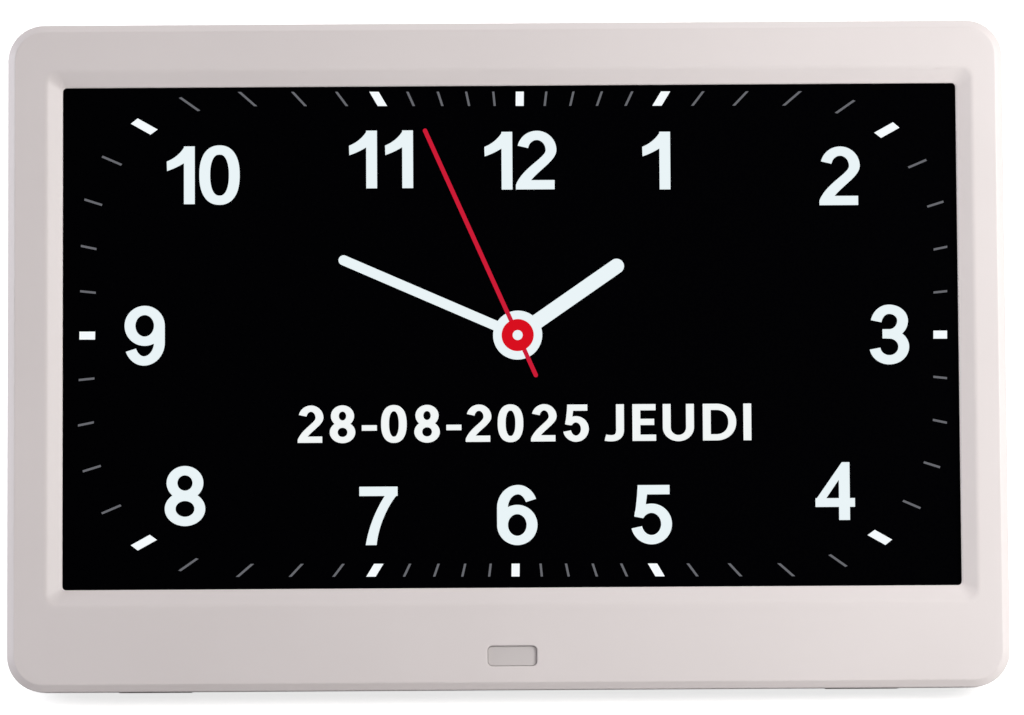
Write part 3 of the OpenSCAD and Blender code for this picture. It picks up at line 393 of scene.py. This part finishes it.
def numeral_strokes(sign, pen):
    """The strokes of one numeral or letter, each as its two edges, in hundredths of its height.
    Round strokes follow the middle of the pen, and cut ones are given by their edges. A space, or
    any other sign, has none."""
    stem, bar = pen
    left = stem / 2
    low, high = bar / 2 - OVERSHOOT, 100 + OVERSHOOT - bar / 2
    if sign == "0":
        return [pen_stroke(bend((34.7, 50), (34.7 - left, high - 50), 90, 450, 73, 2.35), pen)]
    if sign == "1":
        return [(run((29.5, 0), (29.5, 100)), run((29.5 + stem, 0), (29.5 + stem, 100))),
                (sweep((0, 74), (13, 79), (24, 88), (31, 100)),
                 sweep((0.5, 57.5), (14, 62), (26, 68), (40, 78)))]
    if sign == "2":
        over, under = pen_stroke(bend((36.2, 68), (33.8 - left, high - 68), 167, 0), pen)
        return [(smooth_join(over, sweep(over[-1], (70, 50), (42, 36), (24.5, 14)),
                             run((24.5, 14), (24.5, 0))),
                 smooth_join(under, sweep(under[-1], (70 - stem, 55), (11, 37), (0, 8)),
                             run((0, 8), (0, 0)))),
                (run((9, bar), (66.5, bar)), run((0, 0), (66.5, 0)))]
    if sign == "3":
        return [pen_stroke(smooth_join(bend((33.5, 67), (32 - left, high - 67), 167, 90, 14),
                                       bend((33.5, 74), (32.5 - left, high - 74), 90, 0, 14),
                                       bend((33.5, 74), (32.5 - left, 22.8), 360, 270),
                                       run((33.5, 51.2), (22, 51.2))), pen),
                pen_stroke(smooth_join(run((30, 51), (33.5, 51)),
                                       bend((33.5, 29), (34 - left, 22), 90, 0),
                                       bend((33.5, 29), (34 - left, 29 - low), 360, 188)), pen)]
    if sign == "4":
        return [(run((49.5 - left, 1), (49.5 - left, 92.3), (45.6, 100)),
                 run((49.5 + left, 1), (49.5 + left, 92.3), (49.5 + left, 100))),
                (run((0, 22.5 + bar), (67.5, 22.5 + bar)), run((0, 23.5), (67.5, 23.5))),
                (run((0, 35), (45.6, 100)), run((17.6, 37), (47.5, 80.5)))]
    if sign == "5":
        return [(run((12, 100), (66.5, 100)), run((12, 100 - bar), (66.5, 100 - bar))),
                (run((28.7, 100), (28, 84), (25, 62), (21.2, 43.2)),
                 run((12, 100), (11, 84), (8.6, 62), (5.8, 46.3))),
                pen_stroke(bend((35.2, 33.4), (35 - left, 33.4 - low), 146, -168, 60), pen)]
    if sign == "6":
        return [pen_stroke(bend((34.5, 33), (34.5 - left, 33 - low), 90, 450, 65), pen),
                pen_stroke(smooth_join(bend((36, 62), (33.5 - left, high - 62), 24, 90),
                                       bend((36, 62), (36 - left, high - 62), 90, 180),
                                       run((left, 62), (left, 33))), pen)]
    if sign == "7":
        return [(run((1.3, 100), (66.7, 100)), run((1.3, 100 - bar), (66.7, 100 - bar))),
                (sweep((66.7, 87), (47, 64), (33, 28), (12 + stem, 0)),
                 sweep((45.5, 85), (31.3, 64), (17.3, 33), (12, 0)))]
    if sign == "8":
        return [pen_stroke(bend((34.7, 28), (34.7 - left, 28 - low), 90, 450, 57), pen),
                pen_stroke(bend((34.7, 72.4), (31.5 - left, high - 72.4), 90, 450, 57), pen)]
    if sign == "9":
        turned = np.array((69, 100))
        return [(turned - a, turned - b) for a, b in numeral_strokes("6", pen)]
    if sign == "-":
        return [(run((0, 47), (41, 47)), run((0, 32), (41, 32)))]
    if sign == "J":
        return [pen_stroke(smooth_join(run((41, 100), (41, 30)),
                                       sweep((41, 30), (41, 10), (26, 4), (1, 9.5))), pen)]
    if sign == "E":
        return [(run((0, 0), (0, 100)), run((stem, 0), (stem, 100)))] + [
            (run((0, y + bar), (x, y + bar)), run((0, y), (x, y)))
            for x, y in ((64, 0), (59, 43), (63, 100 - bar))]
    if sign == "U":
        return [pen_stroke(smooth_join(run((left, 100), (left, 36)),
                                       bend((42.3, 36), (42.3 - left, 36 - low), 180, 360),
                                       run((84.6 - left, 36), (84.6 - left, 100))), pen)]
    if sign == "D":
        belly = bend((36, 50), (90.6 - left - 36, 50 - bar / 2), 90, -90, 40, 2.15)
        return [(run((0, 0), (0, 100)), run((stem, 0), (stem, 100))),
                pen_stroke(smooth_join(run((left, 100 - bar / 2), (36, 100 - bar / 2)), belly,
                                       run((36, bar / 2), (left, bar / 2))), pen)]
    if sign == "I":
        return [(run((0, 0), (0, 100)), run((stem, 0), (stem, 100)))]
    return []


def word_strokes(word, pen, advances, height_mm, start_mm):
    """Strokes of a word in millimetres, each sign set its advance to the right of the last."""
    scale = height_mm / 100
    place = np.asarray(start_mm, float)
    strokes = []
    for sign in word:
        strokes += [(place + a * scale, place + b * scale) for a, b in numeral_strokes(sign, pen)]
        place = place + (advances[sign] * scale, 0)
    return strokes


def capsule(start, way, length, radius):
    """Edges of a bar with round ends, from start along a unit vector. Its half width is the radius,
    or in a round end the radius times the cosine of the angle whose sine takes it that far out."""
    side = np.array((-way[1], way[0]))
    turn = np.radians(np.linspace(-ROUND_END, ROUND_END, ROUND_POINTS))
    along = (radius * np.sin(turn) + np.where(turn > 0, length, 0))[:, None]
    half = (radius * np.cos(turn))[:, None]
    return start + along * way + half * side, start + along * way - half * side


def dial_way(minutes):
    """Unit vector on the dial toward a number of minutes. The dial is drawn a little flatter than
    a circle, so the upright part is squeezed before the vector is made a unit."""
    angle = 2 * np.pi * np.asarray(minutes, float) / MINUTES
    way = np.stack([np.sin(angle), DIAL_SQUEEZE * np.cos(angle)], axis=-1)
    return way / np.linalg.norm(way, axis=-1, keepdims=True)


def to_band(start, way, half, corner):
    """Points where lines from start along way meet a rounded rectangle. A line meets the nearer of
    its two sides, or past a corner's tangent points the arc: the root of |start + t way - c| = r.
    The corner at the lower right is twice the drift rounder, the opposite one as much tighter."""
    toward = np.where(way < 0, -1.0, 1.0)
    corner = corner + MARKS_CORNER_DRIFT_MM * (toward[:, :1] - toward[:, 1:])
    with np.errstate(divide="ignore", invalid="ignore"):
        flat = np.nanmin(np.where(way == 0, np.inf, (toward * half - start) / way), axis=-1)
    centre = toward * (half - corner)
    off = start - centre
    along = (off * way).sum(axis=-1)
    arc = -along + np.sqrt(np.maximum(along ** 2 - (off ** 2).sum(axis=-1) + corner[:, 0] ** 2, 0))
    hit = start + flat[:, None] * way
    beyond = (np.abs(hit) > np.abs(centre)).all(axis=-1)
    return start + np.where(beyond, arc, flat)[:, None] * way


def mark_strokes(minutes, width_mm):
    """The marks of some minutes, from the dial's middle as origin: lines toward that middle, cut at
    both ends by the edges of a band that runs round the picture as a rounded rectangle. The side
    step is square to a mark, to the left as it is drawn inward."""
    way = dial_way(minutes)
    side = np.stack([way[:, 1], -way[:, 0]], axis=-1) * width_mm / 2
    left, right = (
        np.stack([middle + to_band(start - middle, way, half, MARKS_CORNER_MM)
                  for middle, half in MARKS_EDGES_MM], axis=1)
        for start in (side, -side))
    return list(zip(left, right))


def on_glass(strokes):
    """Strokes of the dial laid on the display: leant, and moved to where the dial's middle is."""
    return [tuple(DIAL_MIDDLE_MM + edge @ DIAL_LEAN for edge in edges) for edges in strokes]


def bar_mesh(edges, low, high):
    """Vertices and faces of a thin bar: a flat rectangle from low to high is carried along its two
    edges, with a cap at each end, or round to its start where the edges close on themselves. The
    faces point outwards when the first edge is on the left as the bar is drawn."""
    left, right = (np.asarray(edge, float) for edge in edges)
    closed = np.allclose(left[0], left[-1]) and len(left) > 4
    if closed:
        left, right = left[:-1], right[:-1]
    count = len(left)
    rails = [(left, high), (right, high), (right, low), (left, low)]
    points = np.stack([np.column_stack([edge, np.full(count, height)]) for edge, height in rails],
                      axis=1)
    ring = np.arange(4)
    here = np.arange(count if closed else count - 1)[:, None] * 4
    after = (here + 4) % (4 * count)
    turned = (ring + 1) % 4
    quads = np.stack([here + ring, here + turned, after + turned, after + ring], axis=-1)
    caps = np.empty((0, 4), int) if closed else np.stack([-ring % 4, 4 * (count - 1) + ring])
    return points.reshape(-1, 3), np.concatenate([quads.reshape(-1, 4), caps])


def face_middle(node, direction):
    """Middle of the face of a CAD node that lies furthest along a direction."""
    mesh = frame["nodes"][node].data
    points = np.empty(len(mesh.vertices) * 3, np.float32)
    mesh.vertices.foreach_get("co", points)
    points = points.reshape(-1, 3).astype(float)
    reach = points @ direction
    face = points[reach > reach.max() - FLAT_MM * MM]
    axes = np.array([ACROSS, UP_THE_GLASS, direction])
    local = face @ axes.T
    return ((local.min(axis=0) + local.max(axis=0)) / 2) @ axes


def surface_piece(name, strokes, material, origin, axes, body, high_mm):
    """A new piece made of thin bars. Each bar is a little higher than the last, until the heights
    repeat, so that the tops of two strokes of one sign never share a plane. axes are across, up
    and out of the surface that the piece lies on."""
    points, faces, count = [], [], 0
    for i, edges in enumerate(strokes):
        bar_points, bar_faces = bar_mesh(edges, LIT_LOW_MM, high_mm + i % BAR_STEPS * BAR_STEP_MM)
        points.append(bar_points)
        faces.append(bar_faces + count)
        count += len(bar_points)
    placed = origin + np.concatenate(points) * MM @ np.asarray(axes)
    mesh = bpy.data.meshes.new(name)
    mesh.from_pydata(placed.tolist(), [], np.concatenate(faces).tolist())
    mesh.materials.append(material)
    piece = bpy.data.objects.new(name, mesh)
    bpy.context.scene.collection.objects.link(piece)
    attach(piece, body)


def dial_numerals():
    """Strokes of the dial's numbers, each number set with its middle where its place says."""
    strokes = []
    for word, middle in NUMERAL_PLACES_MM.items():
        gap = NUMERAL_GAPS.get(word, 0)
        advances = {sign: width + gap for sign, width in NUMERAL_WIDTHS.items()}
        width = sum(advances[sign] for sign in word) - gap
        start = np.asarray(middle) - np.array((width, 100)) / 200 * NUMERAL_HEIGHT_MM
        strokes += word_strokes(word, NUMERAL_PEN, advances, NUMERAL_HEIGHT_MM, start)
    return strokes


def make_picture():
    """What the display shows: marks, numerals, date and hands, as lit pixels on its glass. Layers
    keep what lies on top of something else above all the bars of that."""
    white = glowing("lit_white_pixels", "#EAF4F7")
    bright = glowing("lit_bright_pixels", "#F6FBFE")
    warm = glowing("lit_warm_pixels", "#F2F6F6")
    faint = glowing("lit_grey_pixels", "#68696E")
    crimson = glowing("lit_crimson_pixels", "#CB1C36")
    red = glowing("lit_red_pixels", "#D8101F")
    axes = (ACROSS, UP_THE_GLASS, OUT_OF_GLASS)
    origin = face_middle("display_cell", OUT_OF_GLASS) + UP_THE_GLASS * PICTURE_LIFT_MM * MM

    def lit(name, strokes, material, layer):
        """One piece of the picture, a number of layers above the glass."""
        surface_piece(name, strokes, material, origin, axes, "casing",
                      LIT_HIGH_MM + layer * BAR_STEPS * BAR_STEP_MM)

    minutes = np.arange(MINUTES)
    hours = minutes % MINUTES_PER_HOUR_MARK == 0
    lit("lit_minute_marks", on_glass(mark_strokes(minutes[~hours], MINUTE_MARK_MM)), faint, 0)
    lit("lit_hour_marks", on_glass(mark_strokes(minutes[hours], HOUR_MARK_MM)), bright, 0)
    lit("lit_numerals", dial_numerals(), white, 0)
    date = word_strokes(DATE_WORDS, DATE_PEN, DATE_ADVANCES, DATE_HEIGHT_MM, DATE_START_MM)
    lit("lit_date", date, warm, 0)

    hub, up = np.zeros(2), dial_way(0)
    hour_way, minute_way, second_way = (dial_way(place) for place in HAND_PLACES)
    tail = hub - second_way * SECOND_TAIL_MM
    lit("lit_hour_hand", on_glass([capsule(hub, hour_way, *HOUR_HAND_MM)]), white, 1)
    lit("lit_minute_hand", on_glass([capsule(hub, minute_way, *MINUTE_HAND_MM)]), white, 1)
    lit("lit_hub", on_glass([capsule(hub, up, 0, HUB_MM)]), white, 2)
    lit("lit_second_hand", on_glass([capsule(tail, second_way, *SECOND_HAND_MM)]), crimson, 3)
    lit("lit_hub_cap", on_glass([capsule(hub, up, 0, HUB_RED_MM)]), red, 4)
    lit("lit_hub_dot", on_glass([capsule(hub, up, 0, HUB_DOT_MM)]), white, 5)


# ---------------------------------------------------------------- marks on the buttons

def level_bar(half, height):
    """A level stroke of the signs' pen, half to either side of the middle, at a height."""
    top, foot = height + SIGN_HALF_PEN_MM, height - SIGN_HALF_PEN_MM
    return run((-half, top), (half, top)), run((-half, foot), (half, foot))


def arrow(turn):
    """A filled triangle that points right, turned by an angle: two edges from its tip to its wings,
    the lower wing being on the left of a stroke drawn from there."""
    cosine, sine = math.cos(turn), math.sin(turn)
    tip, upper, lower = np.array(ARROW_MM) @ np.array(((cosine, sine), (-sine, cosine)))
    return [(np.array((tip, lower)), np.array((tip, upper)))]


def circle(radius, start, end, steps, pen_mm):
    """A round stroke between two angles in degrees about the cap's middle."""
    return pen_stroke(bend((0, 0), (radius, radius), start, end, steps), (pen_mm, pen_mm))


def button_signs():
    """The sign on each button's cap, as strokes in millimetres from the cap's middle."""
    half = SIGN_HALF_PEN_MM
    low, high = POWER_BAR_MM
    power = [circle(POWER_RING_MM, 130, 410, 40, 2 * half),
             (run((-half, low), (-half, high)), run((half, low), (half, high)))]
    return {"power_button": power,
            "menu_button": [level_bar(MENU_HALF_MM, height) for height in MENU_ROWS_MM],
            "left_button": arrow(math.pi), "up_button": arrow(math.pi / 2),
            "down_button": arrow(-math.pi / 2), "right_button": arrow(0),
            "ok_button": [circle(RING_MM, 90, 450, 41, RING_PEN_MM)]}


def mark_buttons():
    """Each sign is a thin coat of grey ink on its cap, seen from behind the clock."""
    ink = moulded_plastic("pad_printed_ink", "#5D5E60", "#66676A", 0.5, 0.3, 0.001)
    behind = (-ACROSS, UP_THE_GLASS, -OUT_OF_GLASS)
    for button, strokes in button_signs().items():
        surface_piece(button.replace("button", "sign"), strokes, ink,
                      face_middle(button, -OUT_OF_GLASS), behind, button,
                      INK_HIGH_MM)


# ---------------------------------------------------------------- studio

def make_world():
    """A world that is white where it is seen, directly, in gloss or through something clear, and
    softer where it lights the clock."""
    world = bpy.data.worlds.new("studio")
    bpy.context.scene.world = world
    tree = empty_tree(world)
    path = add(tree, "ShaderNodeLightPath")
    seen = add(tree, "ShaderNodeMath",
               {0: path.outputs["Is Camera Ray"], 1: path.outputs["Is Glossy Ray"]},
               operation="MAXIMUM")
    seen = add(tree, "ShaderNodeMath",
               {0: seen.outputs["Value"], 1: path.outputs["Is Transmission Ray"]},
               operation="MAXIMUM")
    soft = add(tree, "ShaderNodeBackground", None,
               {"Color": linear(AMBIENT_TINT), "Strength": AMBIENT})
    white = add(tree, "ShaderNodeBackground", None, {"Color": linear(WHITE), "Strength": 1.0})
    mix = add(tree, "ShaderNodeMixShader",
              {0: seen.outputs["Value"], 1: soft.outputs["Background"],
               2: white.outputs["Background"]})
    add(tree, "ShaderNodeOutputWorld", {"Surface": mix.outputs["Shader"]})


def matt_white_paint():
    """Matt wall paint, lifted to white where the camera sees it, with the clock's shadow kept."""
    material = bpy.data.materials.new("matt_white_paint")
    tree = empty_tree(material)
    path = add(tree, "ShaderNodeLightPath")
    paint = add(tree, "ShaderNodeBsdfDiffuse", None, {"Color": linear(FLOOR_PAINT)})
    lift = add(tree, "ShaderNodeEmission", None,
               {"Color": linear(WHITE), "Strength": FLOOR_LIFT})
    both = add(tree, "ShaderNodeAddShader",
               {0: paint.outputs["BSDF"], 1: lift.outputs["Emission"]})
    mix = add(tree, "ShaderNodeMixShader",
              {0: path.outputs["Is Camera Ray"], 1: paint.outputs["BSDF"],
               2: both.outputs["Shader"]})
    add(tree, "ShaderNodeOutputMaterial", {"Surface": mix.outputs["Shader"]})
    return material


def make_floor():
    """A plain white floor: one level square that the clock stands in the middle of."""
    half = FLOOR_SIZE / 2
    mesh = bpy.data.meshes.new("floor")
    mesh.from_pydata([(-half, -half, 0), (half, -half, 0), (half, half, 0), (-half, half, 0)], [],
                     [(0, 1, 2, 3)])
    mesh.materials.append(matt_white_paint())
    floor = bpy.data.objects.new("floor", mesh)
    bpy.context.scene.collection.objects.link(floor)


def make_lamps():
    """Soft square lamps, each turned to the camera's target: near on the right, further off on the
    left, above and behind."""
    for name, (place, size, power, colour) in LAMPS.items():
        lamp = bpy.data.lights.new(name, "AREA")
        lamp.size = size
        lamp.energy = power
        lamp.color = linear(colour)[:3]
        holder = bpy.data.objects.new(name, lamp)
        holder.location = place
        toward = CAMERA_TARGET - Vector(place)
        holder.rotation_euler = toward.to_track_quat("-Z", "Y").to_euler()
        bpy.context.scene.collection.objects.link(holder)


def make_camera():
    """The photograph's camera: on a sphere round its target, turned a little about its own axis."""
    out = Vector((0, -math.cos(CAMERA_ELEVATION), math.sin(CAMERA_ELEVATION)))
    lens = bpy.data.cameras.new("camera")
    lens.sensor_width = CAMERA_SENSOR_MM
    lens.lens = CAMERA_LENS_MM
    lens.clip_start, lens.clip_end = CAMERA_CLIP
    holder = bpy.data.objects.new("camera", lens)
    holder.location = CAMERA_TARGET + out * CAMERA_DISTANCE
    level = out.to_track_quat("Z", "Y").to_matrix()
    holder.rotation_euler = (level @ Matrix.Rotation(CAMERA_ROLL, 3, "Z")).to_euler()
    bpy.context.scene.collection.objects.link(holder)
    bpy.context.scene.camera = holder


def dress_nodes(materials):
    """Gives each CAD node the finish of its own material slot in the record."""
    for part in frame["record"]["subparts"]:
        mesh = frame["nodes"][part["node"]].data
        mesh.materials.clear()
        mesh.materials.append(materials[part["material_slot"]])


materials = make_materials()
dress_nodes(materials)
make_picture()
mark_buttons()
make_world()
make_floor()
make_lamps()
make_camera()
bpy.context.scene.view_settings.view_transform = "Standard"
